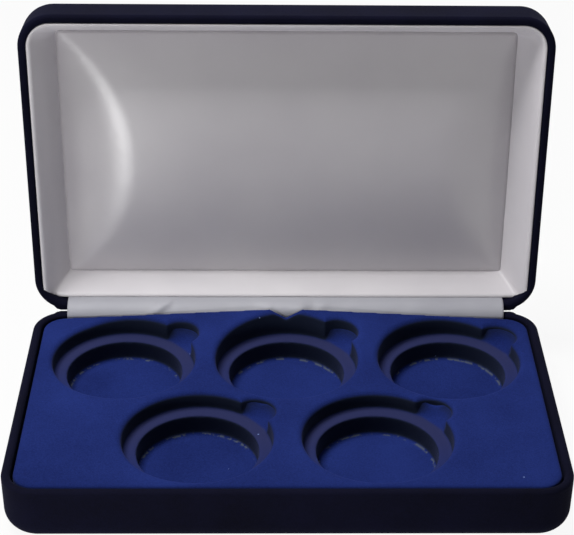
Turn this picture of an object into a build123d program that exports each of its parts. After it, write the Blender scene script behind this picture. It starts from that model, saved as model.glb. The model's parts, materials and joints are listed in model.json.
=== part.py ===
"""Coin display case: two pressed steel shells in velvet, hinged along the back and held open or shut
by a flat snap spring, with a flocked tray for five coins below and a satin pad in the lid above.
Millimetres, +Z up, front towards -Y. The origin is the middle of the underside."""

import math
import os

from build123d import *

# The case over its velvet, shut: the base runs from 0 up to the seam and the lid from there
case_width = 175.0
case_depth = 105.0
base_height = 19.5
lid_height = 19.5
corner_radius = 11.0
edge_radius = 7.0
open_angle = 95.0
seam_gap = 0.3

# Steel shells, and the velvet that wraps them and turns in over the rim
cover_thickness = 0.8
sheet_thickness = 0.6
hem_thickness = 1.2
hem_depth = 4.0
rim_rounding = 1.2

# Hinge: two groups of curled knuckles at the back edge, with a pin through each
knuckle_radius = 1.4
knuckle_length = 6.0
knuckle_gap = 0.3
knuckle_clearance = 0.35
knuckles_per_group = 5
group_from_side = 35.5
pin_radius = 0.7
pin_clearance = 0.05
tab_height = 2.2

# Snap spring and its two anchors, in the middle of the back wall
spring_width = 11.0
spring_thickness = 0.4
spring_from_axis = 2.4
spring_foot_gap = 2.0
spring_bend = 2.6
spring_window = 22.0
anchor_width = 20.0
anchor_sheet = 0.7
anchor_foot_gap = 0.1
anchor_from_seam = 5.6
tongue_width = 8.0
tongue_height = 3.0
tongue_clearance = 0.15
rivet_radius = 1.1
rivet_head_radius = 1.8
rivet_head_height = 0.5
rivet_spacing = 16.0

# Satin gusset over the hinge
gusset_from_side = 11.0
gusset_thickness = 0.35
gusset_from_hem = 0.4
gusset_reach = 6.5
gusset_bend = 2.2

# Flocked tray, which rises to a crest at the middle of its back edge
tray_gap = 0.7
tray_rear_gap = 0.8
tray_wall = 1.0
tray_drop = 0.5
tray_rest_gap = 0.15
tray_edge_rounding = 0.9
crest_height = 4.0
crest_from_side = 8.0
crest_reach = 45.9
notch_width = 12.5
notch_depth = 3.7

# Coin recesses: a wide step for a capsule over a narrower one for the bare coin, and a finger lobe
step_radius = 23.9
step_depth = 6.2
coin_radius = 19.4
coin_depth = 7.0
finger_radius = 6.7
finger_offset = 23.2
finger_angle = 39.0
finger_rounding = 2.6
rear_row_inset = 25.5
rear_row_from_side = 29.1
front_row_inset = 27.0
front_row_pitch = 57.0

# Lid lining: a slanted collar round a padded panel
collar_thickness = 0.6
collar_clearance = 0.1
collar_rim_drop = 0.6
collar_rear_drop = 3.9
collar_rear_standoff = 0.6
collar_side_slant = 7.2
collar_front_slant = 5.7
collar_rear_slant = 6.0
collar_rim_corner = 8.0
collar_inner_corner = 2.0
board_thickness = 1.5
board_clearance = 0.1
pad_edge_height = 2.0
pad_crown = 6.2
pad_corner = 2.5
pad_overshoot = 1.0
pad_gap = 0.3
satin_thickness = 0.35

# Places worked out from the sizes above
seam_z = base_height
lid_top_z = base_height + lid_height
rim_width = 2 * cover_thickness + hem_thickness
wall_inset = cover_thickness + sheet_thickness
wall_y = case_depth / 2 - wall_inset
hem_y = case_depth / 2 - rim_width
hinge_y = wall_y + knuckle_radius
hinge_axis = Axis((0, hinge_y, seam_z), (1, 0, 0))
tray_top_z = seam_z - seam_gap / 2 - tray_drop
board_z = lid_top_z - wall_inset - board_thickness
collar_rim_z = seam_z + collar_rim_drop
group_offset = case_width / 2 - group_from_side
gusset_width = case_width - 2 * gusset_from_side
BASE, LID = -1, 1

os.makedirs("parts", exist_ok=True)


def rim_z(side):
    """Height of one half's velvet rim, half the seam gap away from the seam."""
    return seam_z + side * seam_gap / 2


def face_z(side, inset):
    """Height of a half's outer face, drawn in by inset."""
    return lid_top_z - inset if side == LID else inset


def outline(inset):
    """The plan outline of the case drawn in by inset, for the sketch that calls it."""
    return RectangleRounded(case_width - 2 * inset, case_depth - 2 * inset, corner_radius - inset)


def wall_depth(side):
    """How far the flat of one half's back wall runs from the seam to its rounded edge."""
    return (lid_height if side == LID else base_height) - edge_radius


def anchor_height(side):
    """Height of an anchor's plate, which ends just short of the rounded edge."""
    return wall_depth(side) - anchor_foot_gap - anchor_from_seam


def anchor_middle_z(side):
    """Height of the middle of an anchor's plate, where its rivets sit."""
    return seam_z + side * (anchor_from_seam + anchor_height(side) / 2)


def spring_reach(side):
    """How far the snap spring runs from the seam into one half."""
    return wall_depth(side) - spring_foot_gap


def half_form(side, inset, rim):
    """A solid half of the case, drawn in by inset, from its rounded face to the height rim."""
    with BuildPart() as form:
        with BuildSketch(Plane.XY.offset(rim)):
            outline(inset)
        extrude(amount=face_z(side, inset) - rim)
        face = form.faces().filter_by(Axis.Z).sort_by(Axis.Z)[-1 if side == LID else 0]
        fillet(face.edges(), edge_radius - inset)
    return form.part


def ring(start_z, height, outer_inset, inner_inset):
    """A band of the case outline between two insets, from start_z over height."""
    with BuildPart() as band:
        with BuildSketch(Plane.XY.offset(start_z)):
            outline(outer_inset)
            with BuildSketch(Plane.XY.offset(start_z), mode=Mode.SUBTRACT):
                outline(inner_inset)
        extrude(amount=height)
    return band.part


def knuckle_starts(side):
    """The left ends of one half's knuckles, which alternate with the other half's."""
    pitch = knuckle_length + knuckle_gap
    group_length = knuckles_per_group * pitch - knuckle_gap
    first = 0 if side == BASE else 1
    starts = []
    for centre in (-group_offset, group_offset):
        for index in range(first, knuckles_per_group, 2):
            starts.append(centre - group_length / 2 + index * pitch)
    return starts


def along_hinge(starts, length, radius):
    """Rods of one radius on the hinge axis, one from each start."""
    with BuildPart() as rods:
        for start in starts:
            with BuildSketch(Plane.YZ.offset(start)):
                with Locations((hinge_y, seam_z)):
                    Circle(radius)
            extrude(amount=length)
    return rods.part


def knuckle_room(side):
    """What one half's knuckles sweep, with clearance all round."""
    starts = [start - knuckle_gap / 2 for start in knuckle_starts(side)]
    return along_hinge(starts, knuckle_length + knuckle_gap, knuckle_radius + knuckle_clearance)


def spring_room(side):
    """The gap in the hem and its velvet that the snap spring runs through."""
    with BuildPart() as room:
        with BuildSketch(Plane.XY.offset(rim_z(side) - side * seam_gap)):
            with Locations((0, wall_y - (rim_width - wall_inset) / 2 - seam_gap)):
                Rectangle(spring_window, rim_width - wall_inset + 2 * seam_gap)
        extrude(amount=side * (hem_depth + cover_thickness + 2 * seam_gap))
    return room.part


def rivet_holes(side, radius):
    """Rods through the back wall where the anchor is riveted."""
    rivet_z = anchor_middle_z(side)
    with BuildPart() as rods:
        with BuildSketch(Plane.XZ.offset(-wall_y + anchor_sheet)):
            with Locations((-rivet_spacing / 2, rivet_z), (rivet_spacing / 2, rivet_z)):
                Circle(radius)
        extrude(amount=-(anchor_sheet + sheet_thickness))
    return rods.part


def pressed_shell(side):
    """One steel half: a drawn cup with a hemmed rim, curled knuckles and a gap for the spring."""
    steel_rim = rim_z(side) + side * cover_thickness
    outside = half_form(side, cover_thickness, steel_rim)
    inside = half_form(side, wall_inset, steel_rim)
    hem = ring(steel_rim, side * hem_depth, wall_inset, cover_thickness + hem_thickness)
    own_room, spring_gap = knuckle_room(-side), spring_room(side)
    holes = rivet_holes(side, rivet_radius)
    bore = pin_radius if side == BASE else pin_radius + pin_clearance
    with BuildPart() as shell:
        add(outside)
        add(inside, mode=Mode.SUBTRACT)
        add(hem)
        add(spring_gap, mode=Mode.SUBTRACT)
        add(own_room, mode=Mode.SUBTRACT)
        for start in knuckle_starts(side):
            with BuildSketch(Plane.YZ.offset(start)):
                with Locations((hinge_y, seam_z)):
                    Circle(knuckle_radius)
                with Locations((wall_y + sheet_thickness / 2, seam_z + side * tab_height / 2)):
                    Rectangle(sheet_thickness, tab_height)
                with Locations((hinge_y, seam_z)):
                    Circle(bore, mode=Mode.SUBTRACT)
            extrude(amount=knuckle_length)
        add(holes, mode=Mode.SUBTRACT)
    return shell.part


def velvet_cover(side):
    """The velvet of one half: a skin over the steel that turns in over the rim and down the hem."""
    rim = rim_z(side)
    skin = half_form(side, 0, rim)
    steel = half_form(side, cover_thickness, rim + side * cover_thickness)
    mouth = ring(rim, side * (cover_thickness + hem_depth), cover_thickness + hem_thickness, rim_width)
    rooms = [knuckle_room(BASE), knuckle_room(LID), spring_room(side)]
    with BuildPart() as cover:
        add(skin)
        add(steel, mode=Mode.SUBTRACT)
        with BuildSketch(Plane.XY.offset(rim)):
            outline(rim_width)
        extrude(amount=side * cover_thickness, mode=Mode.SUBTRACT)
        add(mouth)
        rim_face = cover.faces().filter_by(Axis.Z).sort_by(Axis.Z)[-1 if side == BASE else 0]
        fillet(rim_face.edges(), rim_rounding)
        for room in rooms:
            add(room, mode=Mode.SUBTRACT)
    return cover.part


def export_base(part, label):
    """Writes a piece that stays with the base."""
    part.label = label
    export_step(part, f"parts/{label}.step")


def export_lid(part, label):
    """Writes a piece of the lid, swung from shut to the angle at which the case stands open."""
    opened = part.rotate(hinge_axis, -open_angle)
    opened.label = label
    export_step(opened, f"parts/{label}.step")


export_base(pressed_shell(BASE), "base_shell")
export_base(velvet_cover(BASE), "base_cover")
export_lid(pressed_shell(LID), "lid_shell")
export_lid(velvet_cover(LID), "lid_cover")

# Hinge pins, one through each group of knuckles
group_length = knuckles_per_group * (knuckle_length + knuckle_gap) - knuckle_gap
for label, centre in (("hinge_pin_left", -group_offset), ("hinge_pin_right", group_offset)):
    export_base(along_hinge([centre - group_length / 2], group_length, pin_radius), label)


def fold_profile(from_axis, base_reach, lid_reach, bend, thickness):
    """A strip over the open hinge, seen end on: up inside the base, over the hinge, into the lid."""
    half_fold = math.radians(180 - open_angle) / 2
    swing = math.radians(open_angle)
    leg_y = hinge_y - from_axis
    lid_y = hinge_y - from_axis * math.cos(swing) + lid_reach * math.sin(swing)
    lid_z = seam_z + from_axis * math.sin(swing) + lid_reach * math.cos(swing)
    corner = (leg_y, seam_z + from_axis / math.tan(half_fold))
    with BuildLine() as path:
        FilletPolyline((leg_y, seam_z - base_reach), corner, (lid_y, lid_z), radius=bend)
    return trace(path.line, line_width=thickness)


with BuildPart() as snap_spring:
    with BuildSketch(Plane.YZ.offset(-spring_width / 2)):
        fold_profile(
            spring_from_axis, spring_reach(BASE), spring_reach(LID), spring_bend, spring_thickness
        )
    extrude(amount=spring_width)
export_base(snap_spring.part, "snap_spring")

gusset_from_axis = hinge_y - hem_y + gusset_from_hem
with BuildPart() as hinge_gusset:
    with BuildSketch(Plane.YZ.offset(-gusset_width / 2)):
        fold_profile(gusset_from_axis, gusset_reach, gusset_reach, gusset_bend, gusset_thickness)
    extrude(amount=gusset_width)
export_base(hinge_gusset.part, "hinge_gusset")


def spring_anchor(side):
    """A steel plate on the back wall with a tongue struck up from it round one end of the spring."""
    spring_y = hinge_y - spring_from_axis
    spring_front_y = spring_y - spring_thickness / 2
    lip_y = spring_front_y - tongue_clearance - anchor_sheet / 2
    shelf_z = seam_z + side * (spring_reach(side) + tongue_clearance + anchor_sheet / 2)
    lip_z = shelf_z - side * (tongue_height - anchor_sheet) / 2
    shelf_depth = wall_y - lip_y + anchor_sheet / 2
    holes = rivet_holes(side, rivet_radius)
    with BuildPart() as anchor:
        with BuildSketch(Plane.YZ.offset(-anchor_width / 2)):
            with Locations((wall_y - anchor_sheet / 2, anchor_middle_z(side))):
                Rectangle(anchor_sheet, anchor_height(side))
        extrude(amount=anchor_width)
        with BuildSketch(Plane.YZ.offset(-tongue_width / 2)):
            with Locations((wall_y - shelf_depth / 2, shelf_z)):
                Rectangle(shelf_depth, anchor_sheet)
            with Locations((lip_y, lip_z)):
                Rectangle(anchor_sheet, tongue_height)
        extrude(amount=tongue_width)
        add(holes, mode=Mode.SUBTRACT)
    return anchor.part


def anchor_rivets(side):
    """The two rivets of one anchor: a low head inside, and a shank flush with the steel outside."""
    shanks = rivet_holes(side, rivet_radius)
    rivet_z = anchor_middle_z(side)
    with BuildPart() as rivets:
        add(shanks)
        with BuildSketch(Plane.XZ.offset(-wall_y + anchor_sheet)):
            with Locations((-rivet_spacing / 2, rivet_z), (rivet_spacing / 2, rivet_z)):
                Circle(rivet_head_radius)
        extrude(amount=rivet_head_height)
    return rivets.part


export_base(spring_anchor(BASE), "base_anchor")
export_lid(spring_anchor(LID), "lid_anchor")
export_base(anchor_rivets(BASE), "base_rivets")
export_lid(anchor_rivets(LID), "lid_rivets")

# Tray: where its skirt stands on the rounded foot of the shell
foot_radius = edge_radius - wall_inset
skirt_inset = rim_width + tray_gap
foot_run = foot_radius - (skirt_inset - wall_inset)
skirt_z = wall_inset + foot_radius - math.sqrt(foot_radius**2 - foot_run**2) + tray_rest_gap
tray_half_width = case_width / 2 - skirt_inset
tray_front_y = skirt_inset - case_depth / 2
tray_back_y = hem_y - tray_rear_gap
crest_half_width = tray_half_width - crest_from_side
rear_row_x = tray_half_width - rear_row_from_side
recess_centres = [(x, tray_back_y - rear_row_inset) for x in (-rear_row_x, 0, rear_row_x)]
recess_centres += [(side * front_row_pitch / 2, tray_front_y + front_row_inset) for side in (-1, 1)]


def tray_block(inset):
    """The tray as a solid block drawn in by inset, with its crest at the back. Only the outer block has
    rounded edges, and its rear edge stays sharp for the crest."""
    front_y = tray_front_y + inset
    back_y = tray_back_y - inset
    top_z = tray_top_z - inset
    with BuildSketch(Plane.XZ.offset(-back_y)) as gable:
        Polygon((-crest_half_width, top_z), (crest_half_width, top_z), (0, top_z + crest_height), align=None)
    with BuildPart() as block:
        with BuildSketch(Plane.XY.offset(skirt_z)):
            with Locations((0, (front_y + back_y) / 2)):
                RectangleRounded(
                    2 * (tray_half_width - inset), back_y - front_y, corner_radius - skirt_inset - inset
                )
        extrude(amount=top_z - skirt_z)
        if inset == 0:
            top = block.faces().sort_by(Axis.Z)[-1]
            fillet(top.edges().sort_by(Axis.Y)[:-1], tray_edge_rounding)
        loft([gable.sketch.face(), Vertex(0, tray_back_y - crest_reach, top_z)])
    return block.part


def recess_cutter(grow):
    """What the recesses take out of the tray, grown by a wall for the hollow underneath."""
    ledge_z = tray_top_z - step_depth
    floor_z = ledge_z - coin_depth
    top_z = tray_top_z + crest_height + tray_wall
    turn = math.radians(finger_angle)
    lobe_x, lobe_y = finger_offset * math.cos(turn), finger_offset * math.sin(turn)
    lobes = [(x + lobe_x, y + lobe_y) for x, y in recess_centres]
    with BuildPart() as fingers:
        with BuildSketch(Plane.XY.offset(ledge_z - grow)):
            with Locations(lobes):
                Circle(finger_radius + grow)
        extrude(amount=top_z - ledge_z + grow)
        fillet(fingers.faces().filter_by(Axis.Z).group_by(Axis.Z)[0].edges(), finger_rounding + grow)
    with BuildPart() as cutter:
        with BuildSketch(Plane.XY.offset(floor_z - grow)):
            with Locations(recess_centres):
                Circle(coin_radius + grow)
        extrude(amount=coin_depth)
        with BuildSketch(Plane.XY.offset(ledge_z - grow)):
            with Locations(recess_centres):
                Circle(step_radius + grow)
        extrude(amount=top_z - ledge_z + grow)
        add(fingers.part)
    return cutter.part


notch_top_z = tray_top_z + crest_height
notch_outside = 1.0
notch_reach = notch_outside + rear_row_inset - step_radius + tray_wall
outer_block, inner_block = tray_block(0), tray_block(tray_wall)
recesses, grown_recesses = recess_cutter(0), recess_cutter(tray_wall)
hollow = inner_block - grown_recesses
with BuildPart() as coin_tray:
    add(outer_block)
    add(recesses, mode=Mode.SUBTRACT)
    add(hollow, mode=Mode.SUBTRACT)
    with BuildSketch(Plane.XZ.offset(-tray_back_y - notch_outside)):
        notch_corners = [(-notch_width / 2, notch_top_z), (notch_width / 2, notch_top_z)]
        Polygon(*notch_corners, (0, notch_top_z - notch_depth), align=None)
    extrude(amount=notch_reach, mode=Mode.SUBTRACT)
export_base(coin_tray.part, "coin_tray")


# Lid lining. The collar runs from just inside the rim to the board, closer in as it goes deeper
collar_height = board_z - collar_rim_z
rim_half_width = case_width / 2 - rim_width - collar_clearance
rim_front_y = -hem_y + collar_clearance
rear_drop_share = (collar_rear_drop - collar_rim_drop) / collar_height
board_rear_y = hem_y - collar_rear_standoff - collar_rear_slant * (1 - rear_drop_share)
rim_rear_y = board_rear_y + collar_rear_slant
board_half_width = rim_half_width - collar_side_slant
board_front_y = rim_front_y + collar_front_slant


def collar_form(inset, reach):
    """The solid inside one face of the collar, drawn in by inset and longer by reach at each end."""
    with BuildPart() as form:
        for z, x, front_y, rear_y, radius in (
            (collar_rim_z - reach, rim_half_width, rim_front_y, rim_rear_y, collar_rim_corner),
            (board_z + reach, board_half_width, board_front_y, board_rear_y, collar_inner_corner),
        ):
            with BuildSketch(Plane.XY.offset(z)):
                with Locations((0, (front_y + rear_y) / 2)):
                    RectangleRounded(2 * (x - inset), rear_y - front_y - 2 * inset, radius)
        loft()
    return form.part


def corner_wedge(side_signs, overshoot=12.0):
    """A wedge of plan over one side of the collar, with its ends along the mitres of the corners."""
    along, across = side_signs
    rear_line = ((board_half_width, board_rear_y), (rim_half_width, rim_rear_y))
    front_line = ((board_half_width, board_front_y), (rim_half_width, rim_front_y))
    corners = []
    for (inner_x, inner_y), (outer_x, outer_y) in (rear_line, front_line):
        step_x, step_y = (outer_x - inner_x), (outer_y - inner_y)
        scale = overshoot / math.hypot(step_x, step_y)
        corners.append((inner_x - step_x * scale, inner_y - step_y * scale))
        corners.append((outer_x + step_x * scale, outer_y + step_y * scale))
    rear_in, rear_out, front_in, front_out = corners
    if across == 0:
        points = [(along * x, y) for x, y in (rear_in, rear_out, front_out, front_in)]
    elif across > 0:
        points = [rear_in, rear_out, (-rear_out[0], rear_out[1]), (-rear_in[0], rear_in[1])]
    else:
        points = [front_in, front_out, (-front_out[0], front_out[1]), (-front_in[0], front_in[1])]
    return points


collar_outside = collar_form(0, 0)
collar_inside = collar_form(collar_thickness, 0)
with BuildPart() as collar_ring:
    add(collar_outside)
    add(collar_inside, mode=Mode.SUBTRACT)
    with BuildSketch(Plane.XY.offset(seam_z)):
        outline(rim_width + collar_clearance / 2)
    extrude(amount=board_z - seam_z + board_thickness, mode=Mode.INTERSECT)
for label, side_signs, drop in (
    ("collar_left", (-1, 0), 0),
    ("collar_right", (1, 0), 0),
    ("collar_front", (0, -1), 0),
    ("collar_rear", (0, 1), collar_rear_drop),
):
    with BuildPart() as collar:
        add(collar_ring.part)
        with BuildSketch(Plane.XY.offset(seam_z + drop)):
            Polygon(*corner_wedge(side_signs), align=None)
        extrude(amount=board_z - seam_z + board_thickness - drop, dir=(0, 0, 1), mode=Mode.INTERSECT)
    export_lid(collar.part, label)

# Board, foam and the satin over it, crowned both ways so that low hips run to its corners. The arcs of
# the crown start a little outside the pad, so its sides stand proud of the edge height
pad_half_width = board_half_width - collar_thickness - pad_gap
pad_front_y = board_front_y + collar_thickness + pad_gap
pad_rear_y = board_rear_y - collar_thickness - pad_gap
pad_depth = pad_rear_y - pad_front_y
pad_middle_y = (pad_front_y + pad_rear_y) / 2


def crowned_pad(inset):
    """The padded panel drawn in by inset, a flat back on the board and a crown towards the coins."""
    edge_z = board_z - pad_edge_height + inset
    crown_z = edge_z - pad_crown
    with BuildPart() as pad:
        with BuildSketch(Plane.XY.offset(board_z)):
            with Locations((0, pad_middle_y)):
                RectangleRounded(2 * (pad_half_width - inset), pad_depth - 2 * inset, pad_corner)
        extrude(amount=crown_z - board_z)
        for plane, middle, half in (
            (Plane.XZ.offset(-case_depth / 2), 0, pad_half_width - inset + pad_overshoot),
            (Plane.YZ.offset(-case_width / 2), pad_middle_y, pad_depth / 2 - inset + pad_overshoot),
        ):
            with BuildSketch(plane):
                with BuildLine():
                    left, right = (middle - half, edge_z), (middle + half, edge_z)
                    ThreePointArc(left, (middle, crown_z), right)
                    Polyline(right, (middle + half, board_z), (middle - half, board_z), left)
                make_face()
            extrude(amount=case_width, mode=Mode.INTERSECT)
    return pad.part


with BuildPart() as pad_board:
    with BuildSketch(Plane.XY.offset(board_z)):
        outline(edge_radius + board_clearance)
    extrude(amount=board_thickness)
export_lid(pad_board.part, "pad_board")
foam = crowned_pad(satin_thickness)
export_lid(foam, "pad_foam")
export_lid(crowned_pad(0) - crowned_pad(satin_thickness), "pad_satin")
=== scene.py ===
"""Looks of the coin display case: velvet over both halves, a flocked tray, and a satin lining in the lid.
Lengths in this file are in millimetres and are scaled to metres where a mesh is made."""

import json
import math

import bmesh
import bpy
from mathutils import Matrix, Vector, noise


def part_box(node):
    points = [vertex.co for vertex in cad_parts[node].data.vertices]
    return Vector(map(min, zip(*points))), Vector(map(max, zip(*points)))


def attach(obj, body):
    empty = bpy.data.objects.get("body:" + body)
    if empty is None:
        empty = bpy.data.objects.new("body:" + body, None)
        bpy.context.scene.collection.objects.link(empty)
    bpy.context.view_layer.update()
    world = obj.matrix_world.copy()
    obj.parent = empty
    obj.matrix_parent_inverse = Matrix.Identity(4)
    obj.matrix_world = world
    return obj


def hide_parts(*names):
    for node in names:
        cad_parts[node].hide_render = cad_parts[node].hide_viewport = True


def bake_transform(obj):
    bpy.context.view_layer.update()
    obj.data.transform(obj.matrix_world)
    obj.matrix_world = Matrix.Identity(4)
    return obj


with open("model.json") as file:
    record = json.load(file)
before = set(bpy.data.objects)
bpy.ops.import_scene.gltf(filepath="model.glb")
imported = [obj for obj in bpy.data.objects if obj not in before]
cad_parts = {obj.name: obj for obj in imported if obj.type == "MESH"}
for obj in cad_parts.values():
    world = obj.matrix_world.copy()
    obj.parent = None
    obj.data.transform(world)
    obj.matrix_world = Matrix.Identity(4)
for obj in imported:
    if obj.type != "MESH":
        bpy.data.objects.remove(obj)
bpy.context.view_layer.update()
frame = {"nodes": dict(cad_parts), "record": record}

MM = 0.001
joint = frame["record"]["behaviour"]["joints"][0]
hinge = Vector(joint["pos_m"]) / MM
open_angle = math.radians(joint["range_deg"][1])
swing_open = Matrix.Translation(hinge) @ Matrix.Rotation(-open_angle, 4, "X") @ Matrix.Translation(-hinge)
swing_shut = swing_open.inverted()


def box_mm(node):
    """The lowest and highest corners of a node at rest, in millimetres."""
    low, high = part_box(node)
    return Vector(low) / MM, Vector(high) / MM


def shut_box(node):
    """The corners of a lid node in millimetres as if the lid were shut."""
    points = [swing_shut @ (vertex.co / MM) for vertex in frame["nodes"][node].data.vertices]
    low = Vector([min(point[axis] for point in points) for axis in range(3)])
    high = Vector([max(point[axis] for point in points) for axis in range(3)])
    return low, high


def smoothstep(low, high, value):
    """0 below low, 1 above high, and a soft step between."""
    share = max(0.0, min(1.0, (value - low) / (high - low)))
    return share * share * (3 - 2 * share)


def mix(a, b, share):
    """The value that lies a share of the way from a to b."""
    return a + (b - a) * share


# Materials


def new_material(name):
    """An empty node material with its output, as (material, nodes, link, output)."""
    material = bpy.data.materials.new(name)
    material.use_nodes = True
    tree = material.node_tree
    tree.nodes.clear()
    output = tree.nodes.new("ShaderNodeOutputMaterial")
    return material, tree.nodes, tree.links.new, output


def noise_node(nodes, link, scale, detail=2.0, roughness=0.5, stretch=None):
    """A noise texture in object space, in cycles per metre, stretched along an axis where asked."""
    place = nodes.new("ShaderNodeTexCoord").outputs["Object"]
    if stretch:
        mapping = nodes.new("ShaderNodeMapping")
        mapping.inputs["Scale"].default_value = stretch
        link(place, mapping.inputs["Vector"])
        place = mapping.outputs["Vector"]
    texture = nodes.new("ShaderNodeTexNoise")
    texture.inputs["Scale"].default_value = scale
    texture.inputs["Detail"].default_value = detail
    texture.inputs["Roughness"].default_value = roughness
    link(place, texture.inputs["Vector"])
    return texture.outputs["Fac"]


def ramp_node(nodes, link, factor, stops):
    """A colour ramp over (position, colour) stops."""
    ramp = nodes.new("ShaderNodeValToRGB")
    elements = ramp.color_ramp.elements
    while len(elements) < len(stops):
        elements.new(0.5)
    for element, (position, colour) in zip(elements, stops):
        element.position = position
        element.color = (*colour, 1)
    link(factor, ramp.inputs["Fac"])
    return ramp.outputs["Color"]


def bump_node(nodes, link, height, distance, strength=1.0, under=None):
    """A bump over a height, on top of another bump where one is given."""
    bump = nodes.new("ShaderNodeBump")
    bump.inputs["Distance"].default_value = distance * MM
    bump.inputs["Strength"].default_value = strength
    link(height, bump.inputs["Height"])
    if under:
        link(under, bump.inputs["Normal"])
    return bump.outputs["Normal"]


def tinted(nodes, link, colour, share, tint):
    """A colour mixed with a tint by a share."""
    mixer = nodes.new("ShaderNodeMix")
    mixer.data_type = "RGBA"
    mixer.inputs["B"].default_value = (*tint, 1)
    link(share, mixer.inputs["Factor"])
    link(colour, mixer.inputs["A"])
    return mixer.outputs["Result"]


def product(nodes, link, first, second):
    """Two numbers multiplied."""
    times = nodes.new("ShaderNodeMath")
    times.operation = "MULTIPLY"
    link(first, times.inputs[0])
    link(second, times.inputs[1])
    return times.outputs["Value"]


def below(nodes, link, value, limit):
    """1 where a number lies below a limit."""
    test = nodes.new("ShaderNodeMath")
    test.operation = "LESS_THAN"
    test.inputs[1].default_value = limit
    link(value, test.inputs[0])
    return test.outputs["Value"]


def shaded_and_marked_flock(nodes, link, colour, lint):
    """Flock's colour with the tray's stored tints: painted shade on the recess walls, a duller purplish
    tone on the ledges, dust and lint.
    """
    # The wall tint is painted shade on the recess walls; the ledge tint is a duller, purplish tone on the
    # ledges.
    ledge_tint, wall_shade_tint = (0.022, 0.026, 0.082), (0.012, 0.017, 0.034)
    dust_tint, lint_tint = (0.075, 0.09, 0.11), (0.16, 0.22, 0.46)
    lint_cells, lint_size, dust_grain = 210, 0.06, 420
    specks = nodes.new("ShaderNodeTexVoronoi")
    specks.inputs["Scale"].default_value = lint_cells
    link(nodes.new("ShaderNodeTexCoord").outputs["Object"], specks.inputs["Vector"])
    chosen = nodes.new("ShaderNodeSeparateColor")
    link(specks.outputs["Color"], chosen.inputs["Color"])
    near = below(nodes, link, specks.outputs["Distance"], lint_size)
    speck = product(nodes, link, near, below(nodes, link, chosen.outputs["Red"], lint))
    # The stored colour holds the painted wall shade in red, the ledges in green and the dust in blue.
    stored = nodes.new("ShaderNodeVertexColor")
    stored.layer_name = "pile"
    parts = nodes.new("ShaderNodeSeparateColor")
    link(stored.outputs["Color"], parts.inputs["Color"])
    colour = tinted(nodes, link, colour, parts.outputs["Green"], ledge_tint)
    # Painted shade: the recess walls are darkened by the red channel.
    colour = tinted(nodes, link, colour, parts.outputs["Red"], wall_shade_tint)
    grains = noise_node(nodes, link, dust_grain, detail=2.0)
    broken = ramp_node(nodes, link, grains, ((0.5, (0, 0, 0)), (0.56, (1, 1, 1))))
    dust = product(nodes, link, parts.outputs["Blue"], broken)
    colour = tinted(nodes, link, colour, dust, dust_tint)
    return tinted(nodes, link, colour, speck, lint_tint)


def pile_material(name, dark, light, roughness, sheen, sheen_tint, grain, patch, lint=0.0):
    """Velvet or flock: a fine grain of short fibres, soft patches of brushed pile, and pale lint."""
    material, nodes, link, output = new_material(name)
    shader = nodes.new("ShaderNodeBsdfPrincipled")
    fibres = noise_node(nodes, link, grain, detail=3.0, roughness=0.65)
    patches = noise_node(nodes, link, patch, detail=3.0)
    both = nodes.new("ShaderNodeMix")
    both.inputs["Factor"].default_value = 0.45
    link(fibres, both.inputs["A"])
    link(patches, both.inputs["B"])
    colour = ramp_node(nodes, link, both.outputs["Result"], ((0.34, dark), (0.66, light)))
    if lint:
        colour = shaded_and_marked_flock(nodes, link, colour, lint)
    link(colour, shader.inputs["Base Color"])
    shader.inputs["Roughness"].default_value = roughness
    shader.inputs["Specular IOR Level"].default_value = 0.04
    shader.inputs["Sheen Weight"].default_value = sheen
    shader.inputs["Sheen Roughness"].default_value = 0.45
    shader.inputs["Sheen Tint"].default_value = (*sheen_tint, 1)
    soft = bump_node(nodes, link, patches, 0.5, 0.35)
    link(bump_node(nodes, link, fibres, 0.12, 0.8, under=soft), shader.inputs["Normal"])
    link(shader.outputs["BSDF"], output.inputs["Surface"])
    return material


def satin_material(name, low, high, roughness, gloss):
    """Satin: a smooth sheen with a fine weave that runs along X, and faint changes of tone."""
    material, nodes, link, output = new_material(name)
    shader = nodes.new("ShaderNodeBsdfPrincipled")
    tone = noise_node(nodes, link, 28, detail=2.0)
    link(ramp_node(nodes, link, tone, ((0.3, low), (0.7, high))), shader.inputs["Base Color"])
    shader.inputs["Roughness"].default_value = roughness
    shader.inputs["Specular IOR Level"].default_value = gloss
    shader.inputs["Sheen Weight"].default_value = 0.1
    shader.inputs["Sheen Roughness"].default_value = 0.4
    shader.inputs["Anisotropic"].default_value = 0.7
    shader.inputs["Anisotropic Rotation"].default_value = 0.25
    thread = nodes.new("ShaderNodeCombineXYZ")
    thread.inputs["X"].default_value = 1.0
    link(thread.outputs["Vector"], shader.inputs["Tangent"])
    weave = noise_node(nodes, link, 900, detail=1.0, stretch=(0.16, 1.0, 1.0))
    pucker = noise_node(nodes, link, 60, detail=1.5, stretch=(0.5, 1.0, 1.0))
    soft = bump_node(nodes, link, pucker, 0.25, 0.3)
    link(bump_node(nodes, link, weave, 0.03, 0.5, under=soft), shader.inputs["Normal"])
    link(shader.outputs["BSDF"], output.inputs["Surface"])
    return material


def metal_material(name, dark, light, roughness):
    """Drawn or pressed steel with fine streaks."""
    material, nodes, link, output = new_material(name)
    shader = nodes.new("ShaderNodeBsdfPrincipled")
    streaks = noise_node(nodes, link, 700, detail=2.0, stretch=(0.1, 1.0, 1.0))
    link(ramp_node(nodes, link, streaks, ((0.3, dark), (0.7, light))), shader.inputs["Base Color"])
    shader.inputs["Metallic"].default_value = 1.0
    shader.inputs["Roughness"].default_value = roughness
    link(bump_node(nodes, link, streaks, 0.02, 0.4), shader.inputs["Normal"])
    link(shader.outputs["BSDF"], output.inputs["Surface"])
    return material


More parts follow.
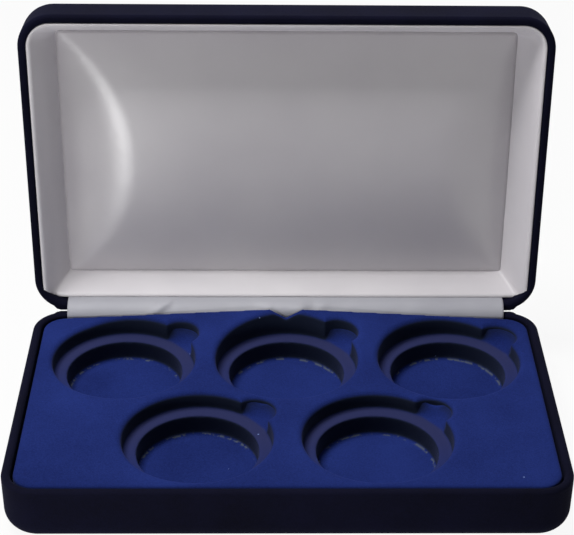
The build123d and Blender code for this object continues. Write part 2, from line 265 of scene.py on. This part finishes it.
def card_material(name, dark, light):
    """Grey board or foam: matt, with a coarse speckle."""
    material, nodes, link, output = new_material(name)
    shader = nodes.new("ShaderNodeBsdfPrincipled")
    speckle = noise_node(nodes, link, 1400, detail=2.0)
    link(ramp_node(nodes, link, speckle, ((0.35, dark), (0.65, light))), shader.inputs["Base Color"])
    shader.inputs["Roughness"].default_value = 0.9
    link(bump_node(nodes, link, speckle, 0.05, 0.5), shader.inputs["Normal"])
    link(shader.outputs["BSDF"], output.inputs["Surface"])
    return material


velvet = pile_material(
    "case_velvet",
    dark=(0.0026, 0.0026, 0.0065),
    light=(0.0048, 0.005, 0.016),
    roughness=0.9,
    sheen=0.012,
    sheen_tint=(0.3, 0.34, 0.75),
    grain=2600,
    patch=45,
)
flock = pile_material(
    "tray_flock",
    dark=(0.0068, 0.0135, 0.082),
    light=(0.0138, 0.027, 0.149),
    roughness=0.95,
    sheen=0.06,
    sheen_tint=(0.3, 0.34, 0.85),
    grain=2200,
    patch=38,
    lint=0.1,
)
# One lining satin in three tones: the collars' is the lightest; the pad's is painted darker for the weaker
# light on the front-facing pad, and the strip's darker still as painted shade in the hollow over the hinge.
satin = satin_material("lining_satin", (0.43, 0.408, 0.433), (0.478, 0.457, 0.476), 0.36, 1.0)
collar_satin = satin_material("collar_satin", (0.6, 0.575, 0.6), (0.66, 0.635, 0.655), 0.55, 0.5)
shaded_strip_satin = satin_material("shaded_strip_satin", (0.325, 0.325, 0.36), (0.375, 0.375, 0.41), 0.55, 0.4)
shell_steel = metal_material("shell_steel", (0.05, 0.05, 0.055), (0.09, 0.09, 0.1), 0.5)
hinge_steel = metal_material("hinge_steel", (0.5, 0.5, 0.5), (0.68, 0.68, 0.67), 0.32)
spring_steel = metal_material("spring_steel", (0.16, 0.17, 0.2), (0.3, 0.31, 0.35), 0.35)
grey_board = card_material("lining_card", (0.42, 0.38, 0.32), (0.6, 0.56, 0.48))
foam = card_material("pad_foam", (0.78, 0.75, 0.66), (0.88, 0.86, 0.78))
finishes = {
    "case_velvet": velvet,
    "tray_flock": flock,
    "lining_satin": satin,
    "shell_steel": shell_steel,
    "hinge_steel": hinge_steel,
    "spring_steel": spring_steel,
    "lining_card": grey_board,
    "pad_foam": foam,
}
for subpart in frame["record"]["subparts"]:
    node = frame["nodes"][subpart["node"]]
    node.data.materials.clear()
    node.data.materials.append(finishes[subpart["material_slot"]])


# Mesh helpers


def mesh_piece(name, points, faces, material, smooth=True):
    """A new object from points in millimetres and faces."""
    mesh = bpy.data.meshes.new(name)
    mesh.from_pydata([tuple(Vector(point) * MM) for point in points], [], faces)
    mesh.materials.append(material)
    piece = bpy.data.objects.new(name, mesh)
    bpy.context.scene.collection.objects.link(piece)
    for face in mesh.polygons:
        face.use_smooth = smooth
    mesh.update()
    return piece


def grid_faces(columns, rows):
    """Quads over a grid of points laid out column by column."""
    return [
        (c * rows + r, (c + 1) * rows + r, (c + 1) * rows + r + 1, c * rows + r + 1)
        for c in range(columns - 1)
        for r in range(rows - 1)
    ]


def apply_modifier(piece, kind, name="change", **settings):
    """Adds a modifier with its settings and applies it to the mesh."""
    modifier = piece.modifiers.new(name, kind)
    for key, value in settings.items():
        setattr(modifier, key, value)
    with bpy.context.temp_override(object=piece, active_object=piece, selected_objects=[piece]):
        bpy.ops.object.modifier_apply(modifier=modifier.name)
    return piece


def copy_of(node, name, material):
    """A new object with a copy of a node's mesh, free to be changed."""
    piece = bpy.data.objects.new(name, frame["nodes"][node].data.copy())
    bpy.context.scene.collection.objects.link(piece)
    piece.data.materials.clear()
    piece.data.materials.append(material)
    return piece


# Tray: the moulded sheet with its edges softened by forming and by the flock

boxes = {box["name"]: box["box_m"] for box in frame["record"]["physics"]["openings"]}
recess_centres = [
    ((box[0][0] + box[1][0]) / 2 / MM, (box[0][1] + box[1][1]) / 2 / MM)
    for name, box in boxes.items()
    if name.endswith("_coin")
]
tray_high = box_mm("coin_tray")[1]
crest_height, crest_half_width, crest_reach = 4.0, 76.0, 45.9
step_radius, step_depth, coin_radius, coin_depth = 23.9, 6.2, 19.4, 7.0
lobe_radius, lobe_offset = 6.7, (18.03, 14.6)
flat_top_z = 18.85
ledge_z = flat_top_z - step_depth
floor_z = ledge_z - coin_depth


def tray_top(x, y):
    """Height of the tray's face, which rises to the crest at the back."""
    rise = (y - tray_high.y + crest_reach) / crest_reach - abs(x) / crest_half_width
    return flat_top_z + crest_height * max(0.0, rise)


def soften_recesses(tray):
    """Rounds the lips of the recesses over and scoops the finger lobes out into bowls."""
    lip, bowl_height, bowl_rim = 1.7, 4.2, 0.3
    for vertex in tray.data.vertices:
        x, y, z = vertex.co / MM
        top = tray_top(x, y)
        if z < ledge_z - 0.4:
            continue
        out = min(math.hypot(x - cx, y - cy) - step_radius for cx, cy in recess_centres)
        lobes = [math.hypot(x - cx - lobe_offset[0], y - cy - lobe_offset[1]) for cx, cy in recess_centres]
        reach = min(lobes)
        if reach < lobe_radius + bowl_rim and out > -1.0 and z < ledge_z + 3.4:
            scooped = bowl_height * min(1.0, reach / lobe_radius) ** 3
            z = max(z, ledge_z + scooped * smoothstep(-1.0, 2.5, out))
        away = min(out, reach - lobe_radius)
        if away < lip:
            inward = lip - max(0.0, away)
            z = min(z, top - lip + math.sqrt(max(0.0, lip**2 - inward**2)))
        vertex.co.z = z * MM


def shade_tray(tray):
    """Stores, point by point, painted shade on the steep recess walls below the tray's face, the ledges,
    and the dust at the wells' foot.
    """
    layer = tray.data.color_attributes.new("pile", "FLOAT_COLOR", "POINT")
    for vertex in tray.data.vertices:
        x, y, z = vertex.co / MM
        # Painted shade: the steep faces below the tray's face, the recess walls, are marked to be darkened.
        shaded_wall = smoothstep(0.25, 0.75, 1 - abs(vertex.normal.z))
        shaded_wall *= smoothstep(0.3, 1.6, tray_top(x, y) - z)
        radius, behind = min((math.hypot(x - cx, y - cy), y - cy) for cx, cy in recess_centres)
        ledge = smoothstep(18.6, 19.8, radius) * (1 - smoothstep(23.6, 24.4, radius))
        ledge *= (1 - smoothstep(0.2, 0.9, abs(z - ledge_z))) * mix(0.35, 1.0, smoothstep(-18, 12, behind))
        from_wall, dust_width = coin_radius - radius, 0.28
        foot = math.exp(-(((0.6 - from_wall) / dust_width) ** 2)) if z < floor_z + 1.2 else 0.0
        foot *= smoothstep(-3.0, 4.0, behind)
        layer.data[vertex.index].color = (shaded_wall, ledge, foot, 1.0)


def make_tray():
    """The tray, with every edge rolled over as a formed sheet's edges are."""
    tray = copy_of("coin_tray", "flocked_tray", flock)
    voxel = 0.45
    apply_modifier(tray, "REMESH", mode="VOXEL", voxel_size=voxel * MM, use_smooth_shade=True)
    apply_modifier(tray, "SMOOTH", factor=0.5, iterations=6)
    soften_recesses(tray)
    apply_modifier(tray, "SMOOTH", factor=0.5, iterations=8)
    shade_tray(tray)
    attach(tray, "base")
    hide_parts("coin_tray")
    return tray


make_tray()


# Velvet covers: the pile stands square along the hinge, which narrows the gap between the halves


def square_back(node, body):
    """A copy of a cover whose rounded rim is filled out to a square edge along the hinge."""
    cover = copy_of(node, f"velvet_{node}", velvet)
    to_shut = swing_shut if body == "lid" else Matrix.Identity(4)
    side = 1 if body == "lid" else -1
    rounding, seam_gap, fullness = 1.2, 0.3, 0.97
    inset, outset, square_end, round_start = 0.02, 0.05, 79.6, 82.0
    furthest = rounding + outset
    rim_z = hinge.z + side * seam_gap / 2
    centre_y, centre_z = hinge.y - rounding, rim_z + side * rounding
    for vertex in cover.data.vertices:
        point = to_shut @ (vertex.co / MM)
        out_y, out_z = point.y - centre_y, (centre_z - point.z) * side
        if min(out_y, out_z) < inset or max(out_y, out_z) > furthest:
            continue
        share = 1 - smoothstep(square_end, round_start, abs(point.x))
        grow = mix(1.0, rounding * fullness / max(out_y, out_z), share)
        point.y = centre_y + out_y * max(1.0, grow)
        point.z = centre_z - side * out_z * max(1.0, grow)
        vertex.co = to_shut.inverted() @ point * MM
    cover.data.update()
    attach(cover, body)
    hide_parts(node)


square_back("base_cover", "base")
square_back("lid_cover", "lid")


# Lid lining

collar_low, collar_high = shut_box("collar_front")
side_low, side_high = shut_box("collar_right")
rear_low, rear_high = shut_box("collar_rear")
pad_low, pad_high = shut_box("pad_satin")
rim_z, board_z = side_low.z, side_high.z
rim_corner, hinge_corner, board_corner = 8.0, 3.0, 2.0
collar_thickness = 0.6
rim_half, board_half = side_high.x, side_low.x + collar_thickness
front_rim_y, front_board_y = collar_low.y, collar_high.y - collar_thickness
rear_board_y = rear_low.y + collar_thickness
rear_start_z = rear_low.z
rear_rim_y = rear_board_y + (rear_high.y - rear_board_y) * (board_z - rim_z) / (board_z - rear_start_z)


def loop_point(half, front_y, rear_y, front_corner, rear_corner, side, share):
    """A point of a rounded rectangle, a share of the way along one side from mitre to mitre."""
    bend, run = 0.12, 0.76
    if side in ("left", "right"):
        sign = 1 if side == "right" else -1
        if share < bend:
            turn = math.radians(-45) * (1 - share / bend)
            x = half - front_corner + front_corner * math.cos(turn)
            y = front_y + front_corner + front_corner * math.sin(turn)
        elif share > 1 - bend:
            turn = math.radians(45) * (share - 1 + bend) / bend
            x = half - rear_corner + rear_corner * math.cos(turn)
            y = rear_y - rear_corner + rear_corner * math.sin(turn)
        else:
            x, y = half, mix(front_y + front_corner, rear_y - rear_corner, (share - bend) / run)
        return sign * x, y
    sign = 1 if side == "rear" else -1
    edge_y = rear_y if side == "rear" else front_y
    corner = rear_corner if side == "rear" else front_corner
    if bend <= share <= 1 - bend:
        return mix(-half + corner, half - corner, (share - bend) / run), edge_y
    turn = math.radians(45) * (1 - min(share, 1 - share) / bend)
    x = half - corner + corner * math.sin(turn)
    y = edge_y - sign * corner + sign * corner * math.cos(turn)
    return math.copysign(x, share - 0.5), y


def make_collar(side):
    """One satin-covered side of the collar, from a rolled edge at the rim down to the pad."""
    columns, rows = 90, 26
    satin_thickness, roll_radius = 0.5, 0.6
    start_z = rear_start_z if side == "rear" else rim_z
    points = []
    for column in range(columns):
        share = column / (columns - 1)
        rim_x, rim_y = loop_point(
            rim_half, front_rim_y, rear_rim_y, rim_corner, hinge_corner, side, share
        )
        board_x, board_y = loop_point(
            board_half, front_board_y, rear_board_y, board_corner, board_corner, side, share
        )
        for row in range(rows):
            down = row / (rows - 1)
            z = mix(start_z, board_z, down)
            depth = (z - rim_z) / (board_z - rim_z)
            x, y = mix(rim_x, board_x, depth), mix(rim_y, board_y, depth)
            if side in ("left", "right"):
                toward = Vector((-math.copysign(1, x), 0, 0))
            else:
                toward = Vector((0, -1 if side == "rear" else 1, 0))
            swell = 0.35 * math.sin(math.pi * min(1, down * 1.15)) if down < 0.87 else 0.0
            ripple = 0.14 * noise.noise(Vector((x * 0.06, y * 0.06, z * 0.2)))
            ripple += 0.05 * noise.noise(Vector((x * 0.35, y * 0.35, z * 0.12)))
            roll = math.sqrt(max(0.0, 1 - (1 - min(1, (z - start_z) / roll_radius)) ** 2))
            raised = collar_thickness * roll + swell + ripple * smoothstep(0, 2, z - start_z)
            points.append(swing_open @ (Vector((x, y, z)) + toward * raised))
    piece = mesh_piece(f"satin_collar_{side}", points, grid_faces(columns, rows), collar_satin)
    apply_modifier(piece, "SOLIDIFY", thickness=satin_thickness * MM, offset=0.0)
    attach(piece, "lid")
    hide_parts(f"collar_{side}")
    return piece


for side in ("left", "right", "front", "rear"):
    make_collar(side)


def pad_height(x, y, low, high):
    """How far the satin stands off the board: an arched slope at each end, and a soft roll between."""
    edge, crown, reach, steepness, roll = 1.9, 6.6, 26.5, 1.85, 2.2
    half = (high.y - low.y) / 2
    along = abs(y - (low.y + high.y) / 2)
    radius = (half**2 + reach**2) / (2 * reach)
    arch = math.sqrt(max(0.0, radius**2 - along**2)) - (radius - reach)
    side = min(x - low.x, high.x - x)
    rise_x = 1 - max(0.0, 1 - side / max(arch, 0.01)) ** steepness
    rise_y = 1 - (along / half) ** roll
    return edge + crown * rise_x * rise_y


def settle_satin(points, faces, held):
    """Settles the satin as cloth, glued along its border and held softly to the foam's form elsewhere."""
    soft_hold, steps = 0.3, 10
    piece = mesh_piece("loose_satin", points, faces, satin)
    group = piece.vertex_groups.new(name="held")
    edge = set(held)
    group.add(held, 1.0, "ADD")
    group.add([index for index in range(len(points)) if index not in edge], soft_hold, "ADD")
    cloth = piece.modifiers.new("cloth", "CLOTH")
    settings = cloth.settings
    settings.quality = 6
    settings.mass = 0.1
    settings.tension_stiffness = 20
    settings.compression_stiffness = 20
    settings.shear_stiffness = 5
    settings.bending_stiffness = 0.3
    settings.shrink_min = -0.001
    settings.vertex_group_mass = "held"
    settings.pin_stiffness = 0.8
    settings.effector_weights.gravity = 0.0
    cloth.collision_settings.use_collision = False
    scene = bpy.context.scene
    for step in range(1, steps + 1):
        scene.frame_set(step)
    shown = piece.evaluated_get(bpy.context.evaluated_depsgraph_get())
    settled = [vertex.co / MM for vertex in shown.data.vertices]
    scene.frame_set(1)
    bpy.data.objects.remove(piece)
    return settled


def make_pad():
    """The padded panel: satin settled as cloth over the foam's crown."""
    spread, tuck = 0.8, 0.992
    low, high = pad_low.copy(), pad_high.copy()
    low.x -= spread
    high.x += spread
    low.y -= spread
    high.y += spread
    columns, rows = 97, 55
    points = []
    for column in range(columns):
        for row in range(rows):
            x = mix(low.x, high.x, column / (columns - 1))
            y = mix(low.y, high.y, row / (rows - 1))
            points.append(swing_open @ Vector((x, y, board_z - pad_height(x, y, low, high))))
    faces = grid_faces(columns, rows)
    border = [c * rows for c in range(columns)]
    border += [(columns - 1) * rows + r for r in range(1, rows)]
    border += [c * rows + rows - 1 for c in range(columns - 2, -1, -1)]
    border += [r for r in range(rows - 2, 0, -1)]
    points = settle_satin(points, faces, border)
    under = {}
    for index in border:
        flat = swing_shut @ points[index]
        under[index] = len(points)
        points.append(swing_open @ Vector((flat.x * tuck, flat.y, board_z)))
    for first, second in zip(border, border[1:] + border[:1]):
        faces.append((first, second, under[second], under[first]))
    faces.append(tuple(under[index] for index in reversed(border)))
    piece = mesh_piece("satin_pad", points, faces, satin)
    bm = bmesh.new()
    bm.from_mesh(piece.data)
    bmesh.ops.recalc_face_normals(bm, faces=bm.faces)
    bm.to_mesh(piece.data)
    bm.free()
    for face in piece.data.polygons:
        face.use_smooth = True
    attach(piece, "lid")
    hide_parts("pad_satin")
    return piece


make_pad()


# Gusset: the satin strip over the hinge, lifted in the middle by the snap spring under it


def crease(x, share, foot_x, head_x, width):
    """A soft fold that runs from foot_x at the tray to head_x at the collar, 1 on its ridge."""
    return math.exp(-(((x - mix(foot_x, head_x, share)) / width) ** 2))


def make_gusset():
    """The satin strip from behind the tray, over the hinge and in behind the collar."""
    low, high = box_mm("hinge_gusset")
    half = high.x
    leg_y = low.y + 0.2
    columns, rows = 241, 34
    leg_share, boss_height, satin_thickness = 0.3, 1.25, 0.25
    foot_z = low.z + 0.5
    bend_z = hinge.z - 0.6
    lid_end = swing_open @ Vector((0, leg_y, hinge.z + 5.6))
    pull_y, pull_z = leg_y + 1.3, hinge.z + 4.2
    folds = ((0.95, -47, -38, 2.2), (0.55, -8, -9, 2.0), (0.45, 12, 14, 2.0), (-0.5, -20, -26, 7.0))
    points = []
    for column in range(columns):
        x = mix(-half, half, column / (columns - 1))
        boss = 1 - smoothstep(5.2, 9.6, abs(x))
        for row in range(rows):
            share = row / (rows - 1)
            if share < leg_share:
                y, z, t = leg_y, mix(foot_z, bend_z, share / leg_share), 0
            else:
                t = (share - leg_share) / (1 - leg_share)
                a, b, c = (1 - t) ** 2, 2 * t * (1 - t), t * t
                y = a * leg_y + b * pull_y + c * lid_end.y
                z = a * bend_z + b * pull_z + c * lid_end.z
            fold = sum(height * crease(x, t, *line) for height, *line in folds)
            fold += 0.22 * noise.noise(Vector((x * 0.22, 3.1, t * 1.5)))
            swell = (fold + boss_height * boss) * math.sin(math.pi * min(1, t * 1.05))
            point = Vector((x, y - 0.8 * swell, z + 0.35 * swell))
            points.append(point)
    # The strip's satin is painted darker as shade in the hollow over the hinge.
    piece = mesh_piece("satin_gusset", points, grid_faces(columns, rows), shaded_strip_satin)
    apply_modifier(piece, "SOLIDIFY", thickness=satin_thickness * MM, offset=0.0)
    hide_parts("hinge_gusset")
    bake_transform(piece)
    return piece


make_gusset()


def make_spring():
    """The snap spring, whose foot sits in the base and whose head goes with the lid: a subdivided copy of
    the node, bound to neither half.
    """
    piece = copy_of("snap_spring", "bent_spring", spring_steel)
    apply_modifier(piece, "SUBSURF", subdivision_type="SIMPLE", levels=3, render_levels=3)
    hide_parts("snap_spring")
    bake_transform(piece)
    return piece


make_spring()


# Floor, light and camera


def white_rays(nodes, link):
    """1 for the rays that see the backdrop: straight from the camera, in a gloss or through glass."""
    paths = nodes.new("ShaderNodeLightPath")
    total = paths.outputs["Is Camera Ray"]
    for kind in ("Is Glossy Ray", "Is Transmission Ray"):
        added = nodes.new("ShaderNodeMath")
        added.operation = "MAXIMUM"
        link(total, added.inputs[0])
        link(paths.outputs[kind], added.inputs[1])
        total = added.outputs["Value"]
    return total


def make_floor():
    """A pale floor that the camera sees as white under the object's soft shadow."""
    size, grey, whiteness = 4000.0, 0.6, 0.93
    corners = [(-size, -size, 0), (size, -size, 0), (size, size, 0), (-size, size, 0)]
    material, nodes, link, output = new_material("floor")
    matt = nodes.new("ShaderNodeBsdfDiffuse")
    matt.inputs["Color"].default_value = (grey, grey, grey, 1)
    white = nodes.new("ShaderNodeEmission")
    white.inputs["Color"].default_value = (1, 1, 1, 1)
    white.inputs["Strength"].default_value = 1.0
    seen = nodes.new("ShaderNodeMath")
    seen.operation = "MULTIPLY"
    seen.inputs[1].default_value = whiteness
    both = nodes.new("ShaderNodeMixShader")
    link(white_rays(nodes, link), seen.inputs[0])
    link(seen.outputs["Value"], both.inputs["Fac"])
    link(matt.outputs["BSDF"], both.inputs[1])
    link(white.outputs["Emission"], both.inputs[2])
    link(both.outputs["Shader"], output.inputs["Surface"])
    floor = mesh_piece("floor", corners, [(0, 1, 2, 3)], material, smooth=False)
    return floor


def make_world(strength):
    """Even light from all round, seen as white by the camera."""
    world = bpy.data.worlds.new("studio")
    bpy.context.scene.world = world
    world.use_nodes = True
    nodes, link = world.node_tree.nodes, world.node_tree.links.new
    nodes.clear()
    light = nodes.new("ShaderNodeBackground")
    light.inputs["Color"].default_value = (1, 1, 1, 1)
    light.inputs["Strength"].default_value = strength
    backdrop = nodes.new("ShaderNodeBackground")
    backdrop.inputs["Color"].default_value = (1, 1, 1, 1)
    backdrop.inputs["Strength"].default_value = 1.0
    both = nodes.new("ShaderNodeMixShader")
    output = nodes.new("ShaderNodeOutputWorld")
    link(white_rays(nodes, link), both.inputs["Fac"])
    link(light.outputs["Background"], both.inputs[1])
    link(backdrop.outputs["Background"], both.inputs[2])
    link(both.outputs["Shader"], output.inputs["Surface"])


def make_lamp(name, place, target, size, power):
    """A square soft lamp in millimetres, aimed at a point."""
    lamp = bpy.data.lights.new(name, "AREA")
    lamp.shape = "SQUARE"
    lamp.size = size * MM
    lamp.energy = power
    holder = bpy.data.objects.new(name, lamp)
    holder.location = Vector(place) * MM
    holder.rotation_euler = (Vector(target) - Vector(place)).to_track_quat("-Z", "Y").to_euler()
    holder.visible_camera = False
    bpy.context.scene.collection.objects.link(holder)


def make_camera():
    """The photograph's camera: place, look and principal point solved from the case's outline."""
    picture_width, picture_height = 574, 535
    focal_pixels, centre_x, centre_y = 1646.5, 303.0, 400.0
    place = Vector((-5.56, -444.35, 320.11))
    azimuth, elevation, roll = math.radians(-1.384), math.radians(34.278), math.radians(-0.812)
    back = Vector((
        math.sin(azimuth) * math.cos(elevation),
        -math.cos(azimuth) * math.cos(elevation),
        math.sin(elevation),
    ))
    right = (-back).cross(Vector((0, 0, 1))).normalized()
    down = (-back).cross(right)
    rolled_right = math.cos(roll) * right + math.sin(roll) * down
    rolled_up = math.sin(roll) * right - math.cos(roll) * down
    camera = bpy.data.cameras.new("camera")
    camera.sensor_width = 36
    camera.lens = focal_pixels / picture_width * camera.sensor_width
    camera.shift_x = (picture_width / 2 - centre_x) / picture_width
    camera.shift_y = (centre_y - picture_height / 2) / picture_width
    camera.clip_start, camera.clip_end = 0.01, 50
    holder = bpy.data.objects.new("camera", camera)
    turn = Matrix((rolled_right, rolled_up, back)).transposed()
    holder.matrix_world = Matrix.Translation(place * MM) @ turn.to_4x4()
    bpy.context.scene.collection.objects.link(holder)
    bpy.context.scene.camera = holder


make_floor()
make_world(strength=0.085)
make_lamp("overhead", place=(-215, 30, 740), target=(0, 10, 20), size=330, power=6.8)
make_lamp("window", place=(-166, -330, 14), target=(-60, 62, 62), size=75, power=0.86)
make_camera()
bpy.context.scene.view_settings.view_transform = "Standard"
